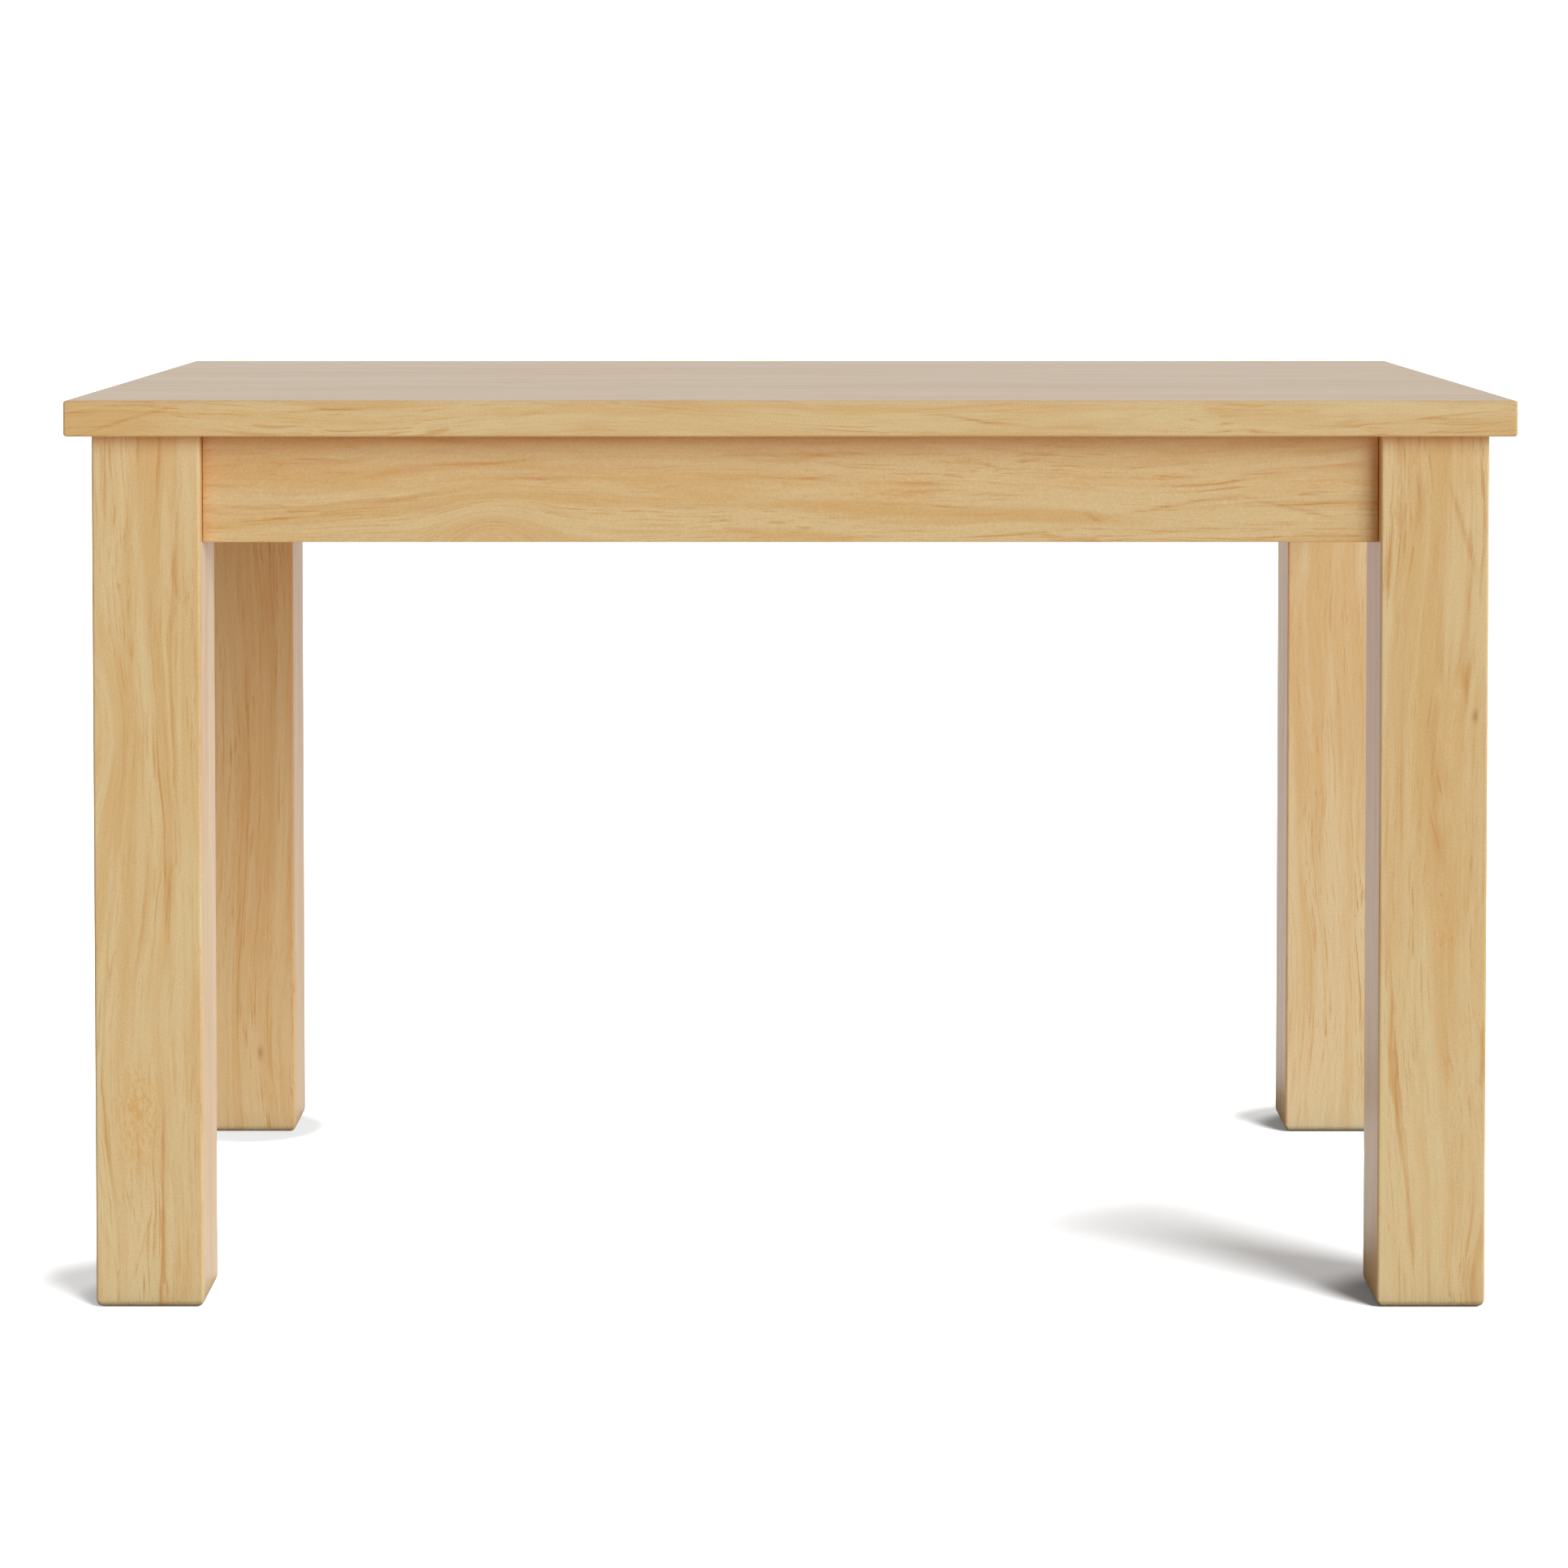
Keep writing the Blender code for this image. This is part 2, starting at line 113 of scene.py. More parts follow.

# The floor as the camera sees it. Its colour is darker round the back left foot, a painted contact
# shadow, and rises away from it. Painted light glows from the floor away from a point by each foot,
# this far behind its middle, and so ends its shadow. Each reach is the distance it starts from, the
# distance it ends at, and its least and most.
FLOOR_SEEN = (0.060, 0.100, 0.25, 0.31)
LIFTS = {
    "front_left": (0.0, ((0.048, 0.075, 0.36, 0.56), (0.10, 0.16, 0.0, 0.44))),
    "front_right": (0.0, ((0.055, 0.105, 0.08, 0.33), (0.35, 0.55, 0.0, 0.67))),
    "back_left": (-0.02, ((0.060, 0.100, 0.03, 1.0),)),
    "back_right": (-0.02, ((0.055, 0.085, 0.13, 0.53), (0.09, 0.12, 0.0, 0.47))),
}

# The view of the table
PHOTO_LENS = 99.55
SENSOR = 36.0
PHOTO_PLACE = Vector((0.0, -3.969, 0.9406))
PHOTO_PITCH = 0.0386
PHOTO_SHIFT = (-0.0041, -0.2776)


# Node wiring


class Graph:
    """Adds shader nodes. A value is a number, a tuple, or another node's output."""

    def __init__(self, tree):
        self.tree = tree

    def add(self, kind, values=None, output=0, **settings):
        node = self.tree.nodes.new("ShaderNode" + kind)
        for name, setting in settings.items():
            setattr(node, name, setting)
        for key, value in (values or {}).items():
            if isinstance(value, bpy.types.NodeSocket):
                self.tree.links.new(value, node.inputs[key])
            else:
                node.inputs[key].default_value = value
        return node.outputs[output]

    def maths(self, operation, *values, clamp=False):
        return self.add("Math", dict(enumerate(values)), operation=operation, use_clamp=clamp)

    def vector(self, operation, *values):
        output = 1 if operation in ("LENGTH", "DISTANCE", "DOT_PRODUCT") else 0
        return self.add("VectorMath", dict(enumerate(values)), output, operation=operation)

    def stretched(self, point, stretch):
        return self.vector("MULTIPLY", point, stretch)

    def noise(self, point, stretch, detail=2.0, rough=0.5, distortion=0.0, colour=False):
        values = {
            "Vector": self.stretched(point, stretch),
            "Scale": 1.0,
            "Detail": detail,
            "Roughness": rough,
            "Distortion": distortion,
        }
        return self.add("TexNoise", values, "Color" if colour else "Fac")

    def span(self, value, low, high, to_low=0.0, to_high=1.0, smooth=True):
        """Value from low..high, mapped smoothly to to_low..to_high and held there beyond."""
        values = {"Value": value, 1: low, 2: high, 3: to_low, 4: to_high}
        kind = "SMOOTHSTEP" if smooth else "LINEAR"
        return self.add("MapRange", values, interpolation_type=kind)

    def mix(self, share, first, second, blend="MIX"):
        values = {0: share, 6: first, 7: second}
        return self.add("Mix", values, 2, data_type="RGBA", blend_type=blend)

    def ramp(self, value, stops):
        socket = self.add("ValToRGB", {0: value})
        ramp = socket.node.color_ramp
        while len(ramp.elements) < len(stops):
            ramp.elements.new(0.5)
        for element, (place, level) in zip(ramp.elements, stops, strict=True):
            element.position = place
            element.color = grey(level)
        return socket


def colour(red, green, blue):
    """An 8-bit display colour as a linear shader colour."""

    def linear(level):
        level /= 255
        if level <= 0.04045:
            return level / 12.92
        return ((level + 0.055) / 1.055) ** 2.4

    return (linear(red), linear(green), linear(blue), 1.0)


def grey(level):
    return (level, level, level, 1.0)


# Timber

PALE = colour(216, 190, 144)
HONEY = colour(209, 172, 118)
AMBER = colour(197, 147, 88)
EMBER = colour(211, 159, 92)
BARK = colour(126, 78, 44)
KNOT = colour(140, 66, 18)
DEEPER = (1.20, 0.74, 0.38, 1.0)  # what one bounce off the lacquered timber does to light
DIM = (0.42, 0.42, 0.42, 1.0)  # what the floor is lit by, in place of the timber's colour
FLOOR_NEAR = 0.002
# Painted corner shade: how far the timber looks for nearby surfaces that close it in
CREVICE = 0.010
OPENNESS = (0.5, 0.95)  # of the air round a place, from deep in a corner to outside it
PAINTED_CORNER_SHADE = (0.90, 0.80, 0.70, 1.0)  # painted shade: the timber's colour darkened deep in the corners, where shade falls
ABOVE_FLOOR = 0.03  # feet stand on the floor, but the painted corner shade is kept off them below this height
SHEEN_SPREAD = 0.12  # in roughness, between fibres


def timber_group():
    """Solid timber: soft bands, broken streaks, faint rings, fibres, mottle and flecks."""
    tree = bpy.data.node_groups.new("timber", "ShaderNodeTree")
    face = tree.interface
    for name, kind in (
        ("Point", "NodeSocketVector"),
        ("Seed", "NodeSocketVector"),
        ("Pith", "NodeSocketVector"),
        ("Spacing", "NodeSocketFloat"),
        ("Lines", "NodeSocketFloat"),
        ("Mottle", "NodeSocketFloat"),
        ("Tone", "NodeSocketFloat"),
        ("Streak", "NodeSocketFloat"),
        ("Knot", "NodeSocketFloat"),
    ):
        face.new_socket(name, in_out="INPUT", socket_type=kind)
    face.new_socket("Color", in_out="OUTPUT", socket_type="NodeSocketColor")
    face.new_socket("Height", in_out="OUTPUT", socket_type="NodeSocketFloat")
    face.new_socket("Sheen", in_out="OUTPUT", socket_type="NodeSocketFloat")
    given = tree.nodes.new("NodeGroupInput").outputs
    result = tree.nodes.new("NodeGroupOutput").inputs
    g = Graph(tree)
    point = given["Point"]
    spot = g.vector("ADD", point, given["Seed"])

    # The grain wanders slowly and ripples a little
    middle = (0.5, 0.5, 0.5)
    drift = g.vector("SUBTRACT", g.noise(spot, (2.6, 9, 9), 1.0, colour=True), middle)
    ripple = g.vector("SUBTRACT", g.noise(spot, (14, 45, 45), 2.0, colour=True), middle)
    drift = g.stretched(drift, (0, 0.045, 0.045))
    ripple = g.stretched(ripple, (0, 0.006, 0.006))
    wander = g.vector("ADD", drift, ripple)
    grown = g.vector("ADD", point, wander)
    inside = g.vector("ADD", spot, wander)

    # Rings round the pith, late wood darker, each ring of its own strength and often faded out
    from_pith = g.stretched(g.vector("SUBTRACT", grown, given["Pith"]), (0.02, 1, 1))
    rings = g.maths("DIVIDE", g.vector("LENGTH", from_pith), given["Spacing"])
    profile = g.ramp(
        g.maths("FRACT", rings), ((0.0, 0.0), (0.50, 0.08), (0.86, 1.0), (0.95, 0.5), (1.0, 0.0))
    )
    each = g.add("TexWhiteNoise", {"W": g.maths("FLOOR", rings)}, noise_dimensions="1D")
    fading = g.noise(inside, (5, 60, 60), 2.0, 0.6)
    line = g.maths("MULTIPLY", profile, g.span(each, 0.2, 1.0, smooth=False))
    line = g.maths("MULTIPLY", line, g.span(fading, 0.42, 0.70))
    line = g.maths("MULTIPLY", line, given["Lines"])

    # Soft bands and thin broken streaks along the grain
    bands = g.noise(inside, (2.2, 62, 62), 3.0, 0.55)
    broad = g.noise(inside, (1.5, 14, 14), 2.0, 0.5)
    tone = g.maths("ADD", g.span(bands, 0.34, 0.68), g.span(broad, 0.30, 0.70, -0.30, 0.30))
    tone = g.maths("ADD", tone, given["Tone"], clamp=True)
    shade = g.mix(tone, PALE, HONEY)
    streaks = g.noise(inside, (11, 520, 520), 3.0, 0.6)
    where = g.noise(inside, (3.5, 38, 38), 2.0, 0.5)
    streak = g.maths("MULTIPLY", g.span(streaks, 0.50, 0.70), g.span(where, 0.40, 0.66, 0.18, 1.0))
    streak = g.maths("MULTIPLY_ADD", line, 0.65, streak)
    broken = g.span(streaks, 0.32, 0.60, 0.45, 1.0)
    streak = g.maths("MULTIPLY_ADD", given["Streak"], broken, streak)
    shade = g.mix(g.maths("MINIMUM", streak, 1.0), shade, AMBER)

    # Orange mottle in patches
    area = g.noise(spot, (3.2, 20, 20), 2.0, 0.6)
    curl = g.noise(inside, (120, 420, 420), 3.0, 0.65, 0.6)
    mottle = g.maths("MULTIPLY", g.span(area, 0.58, 0.76), 0.6)
    mottle = g.maths("ADD", mottle, given["Mottle"])
    mottle = g.maths("MULTIPLY", mottle, g.span(curl, 0.40, 0.66, 0.2, 1.0), clamp=True)
    shade = g.mix(g.maths("MULTIPLY", mottle, 0.8), shade, EMBER)

    # Short dark flecks, thickest where the timber is mottled, and knots
    flecks = g.noise(inside, (70, 1100, 1100), 1.0, 0.5)
    flecks = g.maths("MULTIPLY", g.span(flecks, 0.68, 0.80), g.span(mottle, 0.0, 0.5, 0.2, 1.0))
    shade = g.mix(g.maths("MULTIPLY", flecks, 0.45), shade, BARK)
    shade = g.mix(given["Knot"], shade, KNOT)

    # Fibres and fine speckle
    fibres = g.noise(inside, (45, 800, 800), 3.0, 0.65)
    speckle = g.noise(spot, (620, 700, 700), 2.0, 0.6)
    light = g.maths("MULTIPLY_ADD", fibres, 0.16, 0.92)
    light = g.maths("MULTIPLY", light, g.maths("MULTIPLY_ADD", speckle, 0.36, 0.82))
    lit = g.add("CombineColor", {"Red": light, "Green": light, "Blue": light})
    shade = g.mix(1.0, shade, lit, "MULTIPLY")

    height = g.maths("MULTIPLY_ADD", flecks, -0.6, g.maths("MULTIPLY", fibres, 0.5))
    tree.links.new(shade, result["Color"])
    tree.links.new(height, result["Height"])
    tree.links.new(fibres, result["Sheen"])
    return tree


def bell(g, point, centre, reach, lean=None):
    """One at the centre, falling off smoothly over a reach along each axis.

    A lean turns the axes about Y first, so that a long bell can slope.
    """
    away = g.vector("SUBTRACT", point, centre)
    if lean is not None:
        away = g.add("VectorRotate", {"Vector": away, "Angle": lean}, rotation_type="Y_AXIS")
    away = g.stretched(away, tuple(1 / length for length in reach))
    squared = g.vector("DOT_PRODUCT", away, away)
    return g.maths("EXPONENT", g.maths("MULTIPLY", squared, -1.0))


def total(g, point, bells):
    """The sum of bells, each given by its centre, reach, strength and, if it has one, its lean."""
    result = 0.0
    for centre, reach, strength, *lean in bells:
        one = bell(g, point, centre, reach, *lean)
        result = g.maths("MULTIPLY_ADD", one, strength, result)
    return result


def bent(g, point, eyes):
    """The point once the grain has been pushed aside at each eye, by up to its push."""
    for centre, reach, push in eyes:
        share = bell(g, point, centre, reach)
        point = g.add(
            "VectorMath", {0: share, 1: tuple(-way for way in push), 2: point}, operation="MULTIPLY_ADD"
        )
    return point


def timber_material(name, turn, seed, pith, **look):
    """Timber whose grain runs along the row axis that turn brings to X.

    Eyes push the grain aside, patches add orange mottle, streaks add single lines and knots add
    dark spots, each by its place in the row frame.
    """
    material = bpy.data.materials.new(name)
    material.use_nodes = True
    g = Graph(material.node_tree)
    shader = material.node_tree.nodes["Principled BSDF"]
    place = g.add("TexCoord", output="Object")
    point = g.add("Mapping", {"Vector": bent(g, place, look.get("eyes", ())), "Rotation": turn})
    wavy = g.vector("SUBTRACT", g.noise(place, (30, 30, 30), 1.0, colour=True), (0.5, 0.5, 0.5))
    wavy = g.vector("ADD", place, g.stretched(wavy, (0.005, 0.005, 0.005)))
    timber = material.node_tree.nodes.new("ShaderNodeGroup")
    timber.node_tree = bpy.data.node_groups["timber"]
    for key, value in (
        ("Point", point),
        ("Seed", seed),
        ("Pith", pith),
        ("Spacing", look.get("spacing", 0.0065)),
        ("Lines", look.get("lines", 1.0)),
        ("Mottle", total(g, place, look.get("patches", ()))),
        ("Tone", look.get("tone", 0.0)),
        ("Streak", total(g, wavy, look.get("streaks", ()))),
        ("Knot", total(g, wavy, look.get("knots", ()))),
    ):
        if isinstance(value, bpy.types.NodeSocket):
            material.node_tree.links.new(value, timber.inputs[key])
        else:
            timber.inputs[key].default_value = value
    finish(g, shader, timber.outputs, **look.get("finish", {}))
    return material


def finish(g, shader, timber, rough=0.35, relief=0.00003, tint=(1.0, 1.0, 1.0)):
    """The surface over the timber: its roughness, its fine relief, its own tint, and painted shade deep
    in corners.
    """
    shade = g.mix(1.0, timber["Color"], (*tint, 1.0), "MULTIPLY")
    # Painted shade: the colour is darkened where nearby surfaces close the timber in, but not low on
    # the feet
    open_air = g.add("AmbientOcclusion", {"Distance": CREVICE}, "AO", samples=6)
    open_air = g.span(open_air, *OPENNESS, smooth=False)
    height = g.add("SeparateXYZ", {0: g.add("NewGeometry", output="Position")}, "Z")
    open_air = g.maths("MAXIMUM", open_air, g.maths("LESS_THAN", height, ABOVE_FLOOR))
    shade = g.mix(1.0, shade, g.mix(open_air, PAINTED_CORNER_SHADE, grey(1.0)), "MULTIPLY")
    shade = bounced(g, shade)
    roughness = g.maths("MULTIPLY_ADD", timber["Sheen"], SHEEN_SPREAD, rough - SHEEN_SPREAD / 2)
    bump = g.add("Bump", {"Height": timber["Height"], "Distance": relief, "Strength": 1.0})
    for key, value in (("Base Color", shade), ("Roughness", roughness), ("Normal", bump)):
        g.tree.links.new(value, shader.inputs[key])
    shader.inputs["IOR"].default_value = 1.5


def bounced(g, shade):
    """Deepens the light that timber sends to timber, and keeps its tint off the pale floor."""
    diffuse = g.add("LightPath", output="Is Diffuse Ray")
    length = g.add("LightPath", output="Ray Length")
    place = g.add("NewGeometry", output="Position")
    back = g.add("NewGeometry", output="Incoming")
    start = g.vector("ADD", place, g.add("VectorMath", {0: back, 3: length}, operation="SCALE"))
    height = g.add("SeparateXYZ", {0: start}, "Z")
    from_floor = g.maths("MULTIPLY", diffuse, g.maths("LESS_THAN", height, FLOOR_NEAR))
    deep = g.mix(diffuse, shade, g.mix(1.0, shade, DEEPER, "MULTIPLY"))
    return g.mix(from_floor, deep, DIM)


def steel_material():
    """Bright zinc plate, with fine wear and a faint cloudiness."""
    material = bpy.data.materials.new("zinc_plate")
    material.use_nodes = True
    g = Graph(material.node_tree)
    shader = material.node_tree.nodes["Principled BSDF"]
    place = g.add("TexCoord", output="Object")
    cloud = g.noise(place, (160, 160, 160), 3.0, 0.6)
    scratch = g.noise(place, (900, 2600, 2600), 2.0, 0.7)
    shade = g.mix(g.span(cloud, 0.3, 0.7), colour(196, 199, 200), colour(214, 209, 196))
    roughness = g.maths("MULTIPLY_ADD", scratch, 0.30, 0.20)
    bump = g.add("Bump", {"Height": scratch, "Distance": 0.00002, "Strength": 1.0})
    for key, value in (("Base Color", shade), ("Roughness", roughness), ("Normal", bump)):
        material.node_tree.links.new(value, shader.inputs[key])
    shader.inputs["Metallic"].default_value = 1.0
    return material


# Meshes


def box_form(low, high):
    form = bmesh.new()
    bmesh.ops.create_cube(form, size=1.0)
    bmesh.ops.scale(form, vec=high - low, verts=form.verts)
    bmesh.ops.translate(form, vec=(low + high) / 2, verts=form.verts)
    return form


def round_edges(form, wanted, radius):
    """Rounds the edges whose midpoint passes the test."""
    chosen = []
    for edge in form.edges:
        first, second = (end.co for end in edge.verts)
        if wanted((first + second) / 2):
            chosen.append(edge)
    bmesh.ops.bevel(
        form, geom=chosen, offset=radius, segments=ROUND_STEPS, profile=0.5, affect="EDGES"
    )


def show(form, name, material, slot, *nodes):
    """Makes the form a piece on the table's body, standing for CAD nodes."""
    bmesh.ops.recalc_face_normals(form, faces=form.faces)
    mesh = bpy.data.meshes.new(name)
    form.to_mesh(mesh)
    form.free()
    mesh.materials.append(material)
    mesh.shade_smooth()
    piece = bpy.data.objects.new(name, mesh)
    bpy.context.scene.collection.objects.link(piece)
    mesh.set_sharp_from_angle(angle=CREASE)
    weighted = piece.modifiers.new("flat faces stay flat", "WEIGHTED_NORMAL")
    weighted.keep_sharp = True
    weighted.weight = 100
    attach(piece, BODY)
    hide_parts(*nodes)
    return piece


def build_board(number, material):
    """One board of the top, its glue line closed and its outer edges eased."""
    node = f"top_board_{number}"
    low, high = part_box(node)
    outer = []
    if number == 1:
        outer.append(low.y)
    else:
        low.y -= GLUE_GAP / 2
    if number == BOARD_COUNT:
        outer.append(high.y)
    else:
        high.y += GLUE_GAP / 2
    form = box_form(low, high)

    def on_outside(middle):
        if any(abs(middle.y - y) < TOUCH for y in outer):
            return True
        return abs(abs(middle.x) - high.x) < TOUCH and low.y + TOUCH < middle.y < high.y - TOUCH

    round_edges(form, on_outside, TOP_ROUND)
    show(form, f"{node}_finished", material, "top_timber", node)


def build_sanded(node, arris, material, slot):
    """The node's own solid, with its flat faces made whole and its sharp arrises sanded off."""
    form = bmesh.new()
    form.from_mesh(frame["nodes"][node].data)
    bmesh.ops.remove_doubles(form, verts=form.verts, dist=WELD)
    bmesh.ops.dissolve_limit(form, angle_limit=FLAT, verts=form.verts, edges=form.edges)
    sharp = [edge for edge in form.edges if edge.is_manifold and edge.calc_face_angle() > SHARP]
    bmesh.ops.bevel(
        form, geom=sharp, offset=arris, segments=2, profile=0.5, affect="EDGES", clamp_overlap=True
    )
    show(form, f"{node}_finished", material, slot, node)


# Stage, light and camera


def build_floor():
    """A white floor that keeps the feet's soft shadows, and lights the timber only a little."""
    form = bmesh.new()
    bmesh.ops.create_grid(form, x_segments=1, y_segments=1, size=FLOOR_REACH)
    mesh = bpy.data.meshes.new("floor")
    form.to_mesh(mesh)
    form.free()
    floor = bpy.data.objects.new("floor", mesh)
    bpy.context.scene.collection.objects.link(floor)
    floor.location.z = FLOOR_LEVEL
    material = bpy.data.materials.new("pale_floor")
    material.use_nodes = True
    g = Graph(material.node_tree)
    seen = g.add("LightPath", output="Is Camera Ray")
    place = g.add("NewGeometry", output="Position")
    # Painted contact shadow: the camera sees the floor darker near the back left foot
    level = g.span(from_foot(g, place, "back_left"), *FLOOR_SEEN)
    # Painted light: a glow that only the camera sees lifts the floor's shadows away from each foot
    lift = 1.0
    for corner, (_shift, reaches) in LIFTS.items():
        away = from_foot(g, place, corner)
        added = 0.0
        for reach in reaches:
            added = g.maths("ADD", added, g.span(away, *reach))
        lift = g.maths("MINIMUM", lift, added)
    from_middle = g.stretched(place, (1 / UNDER_TABLE[0], 1 / UNDER_TABLE[1], 0.0))
    under = g.span(g.vector("LENGTH", from_middle), *UNDER_TABLE_FADES, 1.0, 0.0)
    depth = g.add("SeparateXYZ", {0: place}, "Y")
    mirrored = g.mix(g.span(depth, *MIRRORED_DEPTH), MIRRORED_NEAR, MIRRORED_FAR)
    shine = g.add("LightPath", output="Is Glossy Ray")
    bounce = g.mix(shine, g.mix(under, FLOOR_BOUNCE, WARM_BOUNCE), mirrored)
    # Painted contact shade: the floor sends less light to the timber just round the feet
    bounce = g.mix(1.0, bounce, outside_feet(g, place), "MULTIPLY")
    level = g.mix(seen, bounce, level)
    diffuse = g.add("BsdfDiffuse", {"Color": level})
    # Painted light: the floor glows by the lift, for the camera only
    glow = g.add("Emission", {"Color": grey(1.0), "Strength": g.maths("MULTIPLY", seen, lift)})
    lit = g.add("AddShader", {0: diffuse, 1: glow})
    below = g.add("NewGeometry", output="Backfacing")  # looked at from below, it hides nothing
    surface = g.add("MixShader", {0: below, 1: lit, 2: g.add("BsdfTransparent")})
    output = material.node_tree.nodes["Material Output"]
    material.node_tree.links.new(surface, output.inputs["Surface"])
    mesh.materials.append(material)
    return floor


def from_foot(g, place, corner):
    """The distance along the floor from the point that a foot's shadow is measured from."""
    low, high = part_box(f"leg_{corner}")
    shift, _reaches = LIFTS[corner]
    point = ((low.x + high.x) / 2, (low.y + high.y) / 2 + shift, 0.0)
    return g.vector("DISTANCE", place, point)


def outside_feet(g, place):
    """None at the feet's outlines, rising to one a little way out from them."""
    low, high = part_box("leg_back_right")
    middle = ((low.x + high.x) / 2, (low.y + high.y) / 2, 0.0)
    out = g.vector("ABSOLUTE", g.vector("SUBTRACT", g.vector("ABSOLUTE", place), middle))
    node = g.add("SeparateXYZ", {0: out}).node
    past = g.maths("MAXIMUM", node.outputs["X"], node.outputs["Y"])
    past = g.maths("SUBTRACT", past, (high.x - low.x) / 2)
    return g.span(past, *CONTACT, CONTACT_LEFT, 1.0)


def sun(name, elevation, angle, strength):
    """Soft light from the right and the front, the same all over the table."""
    light = bpy.data.lights.new(name, "SUN")
    light.energy = strength
    light.angle = angle
    lamp = bpy.data.objects.new(name, light)
    bpy.context.scene.collection.objects.link(lamp)
    lamp.rotation_euler = (math.pi / 2 - elevation, 0, KEY_AZIMUTH)
    return lamp


def named_group(name, things):
    group = bpy.data.collections.new(name)
    for thing in things:
        group.objects.link(thing)
    return group


def build_light(floor):
    key = sun("key", KEY_ELEVATION, KEY_ANGLE, KEY_STRENGTH)
    key.data.color = KEY_TINT
    key.visible_glossy = False
    whitener = sun("floor_key", FLOOR_KEY_ELEVATION, FLOOR_KEY_ANGLE, FLOOR_KEY_STRENGTH)
    shading = [corner for corner in CORNERS if corner != "back_left"]
    legs = [bpy.data.objects[f"leg_{corner}_finished"] for corner in shading]
    whitener.light_linking.receiver_collection = named_group("lit_floor", [floor])
    whitener.light_linking.blocker_collection = named_group("shadowing_legs", legs)
    world = bpy.data.worlds.new("studio")
    bpy.context.scene.world = world
    world.use_nodes = True
    g = Graph(world.node_tree)
    background = world.node_tree.nodes["Background"]
    seen = g.add("LightPath", output="Is Camera Ray")
    shine = g.add("LightPath", output="Is Glossy Ray")
    towards = g.add("TexCoord", output="Generated")
    sideways = g.add("SeparateXYZ", {0: towards}, "X")
    backwards = g.add("SeparateXYZ", {0: towards}, "Y")
    front = g.mix(g.span(sideways, *FILL_RISES), FILL_FRONT_LEFT, FILL_FRONT_RIGHT)
    fill = g.mix(g.span(backwards, *FILL_TURNS), front, FILL_BACK)
    level = g.mix(shine, fill, SHINE)
    level = g.mix(seen, level, grey(WHITE_SEEN))
    world.node_tree.links.new(level, background.inputs["Color"])
    background.inputs["Strength"].default_value = 1.0


def build_camera():
    data = bpy.data.cameras.new("camera")
    data.lens = PHOTO_LENS
    data.sensor_width = SENSOR
    camera = bpy.data.objects.new("camera", data)
    bpy.context.scene.collection.objects.link(camera)
    camera.location = PHOTO_PLACE
    camera.rotation_euler = (math.pi / 2 - PHOTO_PITCH, 0, 0)
    bpy.context.scene.camera = camera
    for path, amount in zip(("shift_x", "shift_y"), PHOTO_SHIFT, strict=True):
        shift_at_home(data, path, amount, camera)


def shift_at_home(data, path, amount, camera):
    """Lens shift of this amount while the camera stands in its own place, and none elsewhere."""
    driver = data.driver_add(path).driver
    driver.type = "SCRIPTED"
    for name, axis in (("x", "LOC_X"), ("y", "LOC_Y"), ("z", "LOC_Z")):
        variable = driver.variables.new()
        variable.name = name
        variable.type = "TRANSFORMS"
        variable.targets[0].id = camera
        variable.targets[0].transform_type = axis
    gaps = [f"abs({axis} - {home:.4f})" for axis, home in zip("xyz", PHOTO_PLACE, strict=True)]
    away = " + ".join(gaps)
    driver.expression = f"{amount} if {away} < 0.001 else 0.0"


# The looks of the parts, and the table


def leg_looks():
    """Where each leg's grain shows an eye, mottle, single streaks or a knot."""
    low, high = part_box("leg_front_right")
    edge = high.x
    front = low.y
    return {
        "front_left": {
            "eyes": [((-edge, front, 0.49), (0.030, 0.09, 0.055), (0.022, 0, 0))],
            "patches": [((-edge + 0.036, front, 0.160), (0.018, 0.05, 0.045), 1.4)],
            "streaks": [
                ((-edge + 0.062, front, 0.33), (0.0022, 0.02, 0.07), 0.5, 0.03),
                ((-edge + 0.070, front, 0.60), (0.0018, 0.02, 0.09), 0.4, 0.0),
                ((-edge + 0.034, front, 0.035), (0.0008, 0.02, 0.016), 0.4, -0.3),
                ((-edge + 0.040, front, 0.055), (0.0008, 0.02, 0.014), 0.4, -0.25),
            ],
        },
        "front_right": {
            "seed": (1.3, 3.1, 1.5),
            "eyes": [((edge + 0.004, front, 0.015), (0.026, 0.09, 0.045), (-0.016, 0, 0))],
            "patches": [
                ((edge - 0.036, front, 0.32), (0.010, 0.05, 0.040), 0.9),
                ((edge - 0.030, front, 0.47), (0.012, 0.05, 0.050), 0.5),
                ((edge - 0.014, front, 0.70), (0.018, 0.05, 0.030), 0.4),
            ],
            "streaks": [
                ((edge - 0.023, front, 0.655), (0.0024, 0.02, 0.040), 0.7, 0.28),
                ((edge - 0.017, front, 0.590), (0.0024, 0.02, 0.035), 0.75, -0.05),
                ((edge - 0.016, front, 0.530), (0.0024, 0.02, 0.030), 0.7, -0.12),
                ((edge - 0.072, front, 0.42), (0.0020, 0.02, 0.06), 0.4, 0.0),
                ((edge - 0.040, front, 0.44), (0.0008, 0.02, 0.012), 0.9, 0.2),
                ((edge - 0.046, front, 0.405), (0.0008, 0.02, 0.012), 0.8, 0.25),
            ],
            "knots": [((edge - 0.011, front, 0.497), (0.0024, 0.02, 0.0050), 0.5)],
        },
        "back_left": {
            "knots": [((-edge + 0.055, -high.y, 0.079), (0.0028, 0.02, 0.007), 0.45)],
            "lines": 1.2,
            "finish": {"tint": (1.03, 1.02, 1.0)},
        },
        "back_right": {
            "seed": (0.6, 2.0, 4.4),
            "lines": 0.3,
            "tone": -0.25,
            "finish": {"tint": (1.01, 1.09, 1.20)},
        },
    }


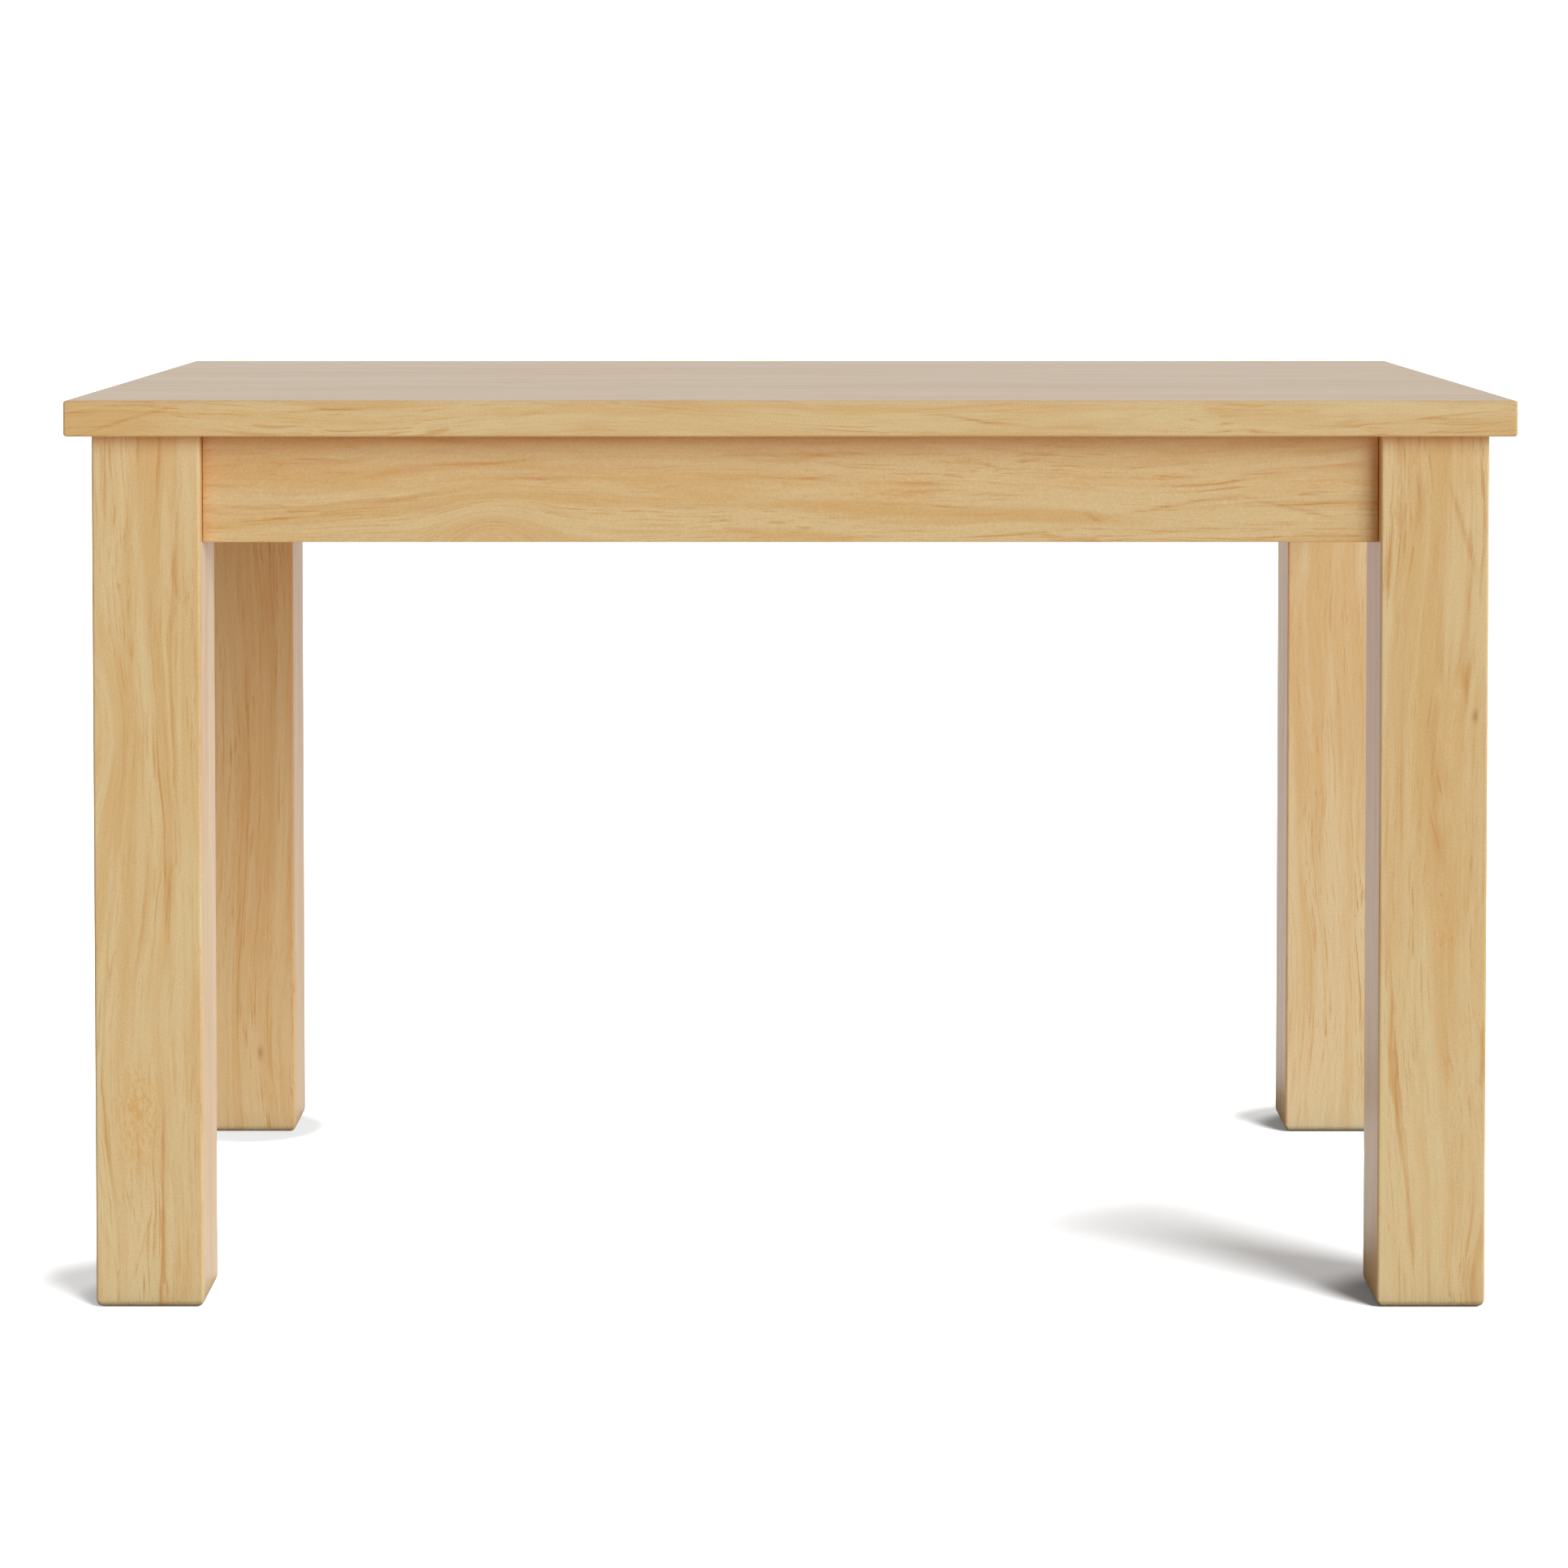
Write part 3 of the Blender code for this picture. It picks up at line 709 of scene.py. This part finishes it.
def top_look():
    """Streaks along the front edge of the top."""
    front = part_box("top_board_1")[0].y
    return {
        "lines": 1.8,
        "patches": [((-0.50, front, 0.745), (0.12, 0.02, 0.012), 0.35)],
        "streaks": [
            ((-0.545, front, 0.744), (0.046, 0.02, 0.0014), 0.8, 0.29),
            ((-0.372, front, 0.752), (0.040, 0.02, 0.0012), 0.9, 0.05),
            ((-0.218, front, 0.748), (0.020, 0.02, 0.0012), 0.6, 0.10),
            ((0.152, front, 0.744), (0.040, 0.02, 0.0012), 0.8, -0.14),
            ((0.540, front, 0.747), (0.030, 0.02, 0.0008), 0.7, 0.12),
            ((0.565, front, 0.738), (0.020, 0.02, 0.0008), 0.7, 0.10),
        ],
    }


def apron_look():
    """Nested arches left of the middle, an orange patch right of it, and single streaks."""
    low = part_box("apron_front")[0]
    front = low.y
    return {
        "finish": {"tint": (0.99, 0.97, 0.94)},
        "lines": 1.9,
        "eyes": [((-0.248, front, low.z + 0.006), (0.040, 0.08, 0.026), (0, 0, 0.030))],
        "patches": [
            ((0.085, front, 0.682), (0.035, 0.05, 0.012), 0.9),
            ((0.030, front, 0.672), (0.030, 0.05, 0.008), 0.4),
            ((0.24, front, 0.690), (0.030, 0.05, 0.006), 0.5),
        ],
        "streaks": [
            ((0.316, front, 0.670), (0.034, 0.02, 0.0014), 0.8, 0.16),
            ((0.252, front, 0.661), (0.006, 0.02, 0.0018), 1.0, -0.45),
            ((0.110, front, 0.671), (0.045, 0.02, 0.0012), 0.6, -0.05),
            ((-0.020, front, 0.694), (0.060, 0.02, 0.0014), 0.6, -0.04),
            ((-0.010, front, 0.712), (0.050, 0.02, 0.0020), 0.6, 0.02),
            ((-0.260, front, 0.706), (0.050, 0.02, 0.0012), 0.8, 0.05),
            ((-0.215, front, 0.693), (0.040, 0.02, 0.0012), 0.7, 0.02),
            ((-0.430, front, 0.668), (0.050, 0.02, 0.0014), 0.5, 0.02),
            ((0.19, front, 0.647), (0.040, 0.02, 0.0012), 0.5, 0.08),
            ((0.42, front, 0.668), (0.040, 0.02, 0.0014), 0.5, -0.24),
        ],
    }


def build_table():
    timber_group()
    along_x = (0.0, 0.0, 0.0)
    along_z = (0.0, math.pi / 2, 0.0)
    along_y = (0.0, 0.0, math.pi / 2)
    for number in range(1, BOARD_COUNT + 1):
        look = top_look() if number == 1 else {"tone": 0.15 * (-1) ** number, "lines": 2.2}
        seed = (0.4 * number, 1.7 * number, 2.3)
        material = timber_material(f"board_{number}", along_x, seed, (0, 0.1, 0.60), **look)
        build_board(number, material)
    looks = leg_looks()
    for index, corner in enumerate(CORNERS):
        look = {
            "seed": (1.3 * index, 3.1, 0.7 * index),
            "finish": {"tint": (1.02, 1.03, 1.04)},
            "tone": -0.12,
            "lines": 1.7,
        } | looks[corner]
        material = timber_material(f"leg_{corner}", along_z, pith=(0, 0.3, -0.7), **look)
        build_sanded(f"leg_{corner}", ARRIS, material, "leg_timber")
    for index, side in enumerate(SIDES):
        turn = along_x if side in ("front", "back") else along_y
        look = apron_look() if side == "front" else {}
        seed = (2.1 * index, 0.9, 5.0)
        material = timber_material(f"apron_{side}", turn, seed, (0, 0.1, 0.3), **look)
        build_sanded(f"apron_{side}", ARRIS, material, "apron_timber")
    steel = steel_material()
    bare = timber_material(
        "bare_timber", along_x, (7, 7, 7), (0, 0.2, 0.2), finish={"rough": 0.7}
    )
    for name, thing in list(frame["nodes"].items()):
        if name.startswith(("hanger_bolt", "washer", "nut", "button_screw")):
            thing.data.materials[0] = steel
        elif name.startswith("corner_block"):
            build_sanded(name, BLOCK_ARRIS, bare, "block_timber")
        elif name.startswith("button"):
            build_sanded(name, BLOCK_ARRIS, bare, "button_timber")


build_table()
build_light(build_floor())
build_camera()
bpy.context.scene.view_settings.view_transform = "Standard"
